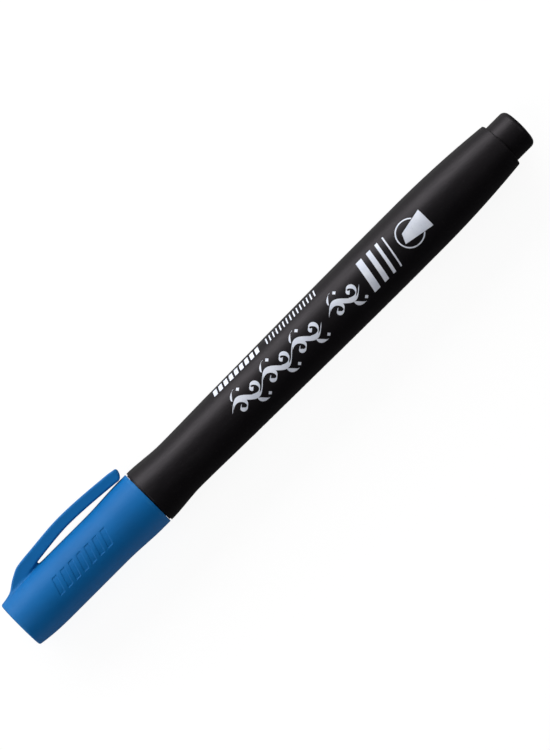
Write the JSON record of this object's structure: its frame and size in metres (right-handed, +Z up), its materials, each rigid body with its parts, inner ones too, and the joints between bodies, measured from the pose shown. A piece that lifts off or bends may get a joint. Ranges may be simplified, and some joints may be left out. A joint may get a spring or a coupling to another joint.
{
  "type": "calligraphy marker",
  "caption": "Capped calligraphy marker: waisted round barrel, flared pull-off cap with a moulded pocket clip, flat chisel nib and a stepped tail plug.",
  "frame": {"origin": "centre of the cap's flat crown face, on the marker's axis", "axes": "+X along the axis from the cap's crown to the tail, +Y towards the clip, +Z up as the marker lies on its side"},
  "size_m": [0.14, 0.0162, 0.0128],
  "materials": {
    "cap_plastic": "blue moulded plastic with a fine satin grain",
    "barrel_plastic": "black moulded plastic with a fine satin grain",
    "section_plastic": "black moulded plastic, smooth",
    "liner_plastic": "milky soft plastic",
    "nib_fibre": "pressed fibre soaked with blue ink",
    "reservoir_fibre": "fibre bundle soaked with blue ink",
    "film_plastic": "thin clear film",
    "print_ink": "silver-white screen print"
  },
  "bodies": {
    "pen": {"barrel": "barrel_plastic", "tail_plug": "barrel_plastic", "front_section": "section_plastic", "chisel_nib": "nib_fibre", "ink_reservoir": "reservoir_fibre", "reservoir_film": "film_plastic"},
    "cap": {"cap_shell": "cap_plastic", "inner_cap": "liner_plastic"},
    "clip": {"pocket_clip": "cap_plastic"}
  },
  "joints": [
    {"name": "cap_pull", "type": "slide", "parent": "pen", "child": "cap", "axis": [-1, 0, 0], "range_m": [0, 0.045]},
    {"name": "clip_flex", "type": "hinge", "parent": "cap", "child": "clip", "pos_m": [0.0114, 0.00771, 0], "axis": [0, 0, 1], "range_deg": [0, 6], "stiffness_Nm_per_rad": 0.8}
  ]
}
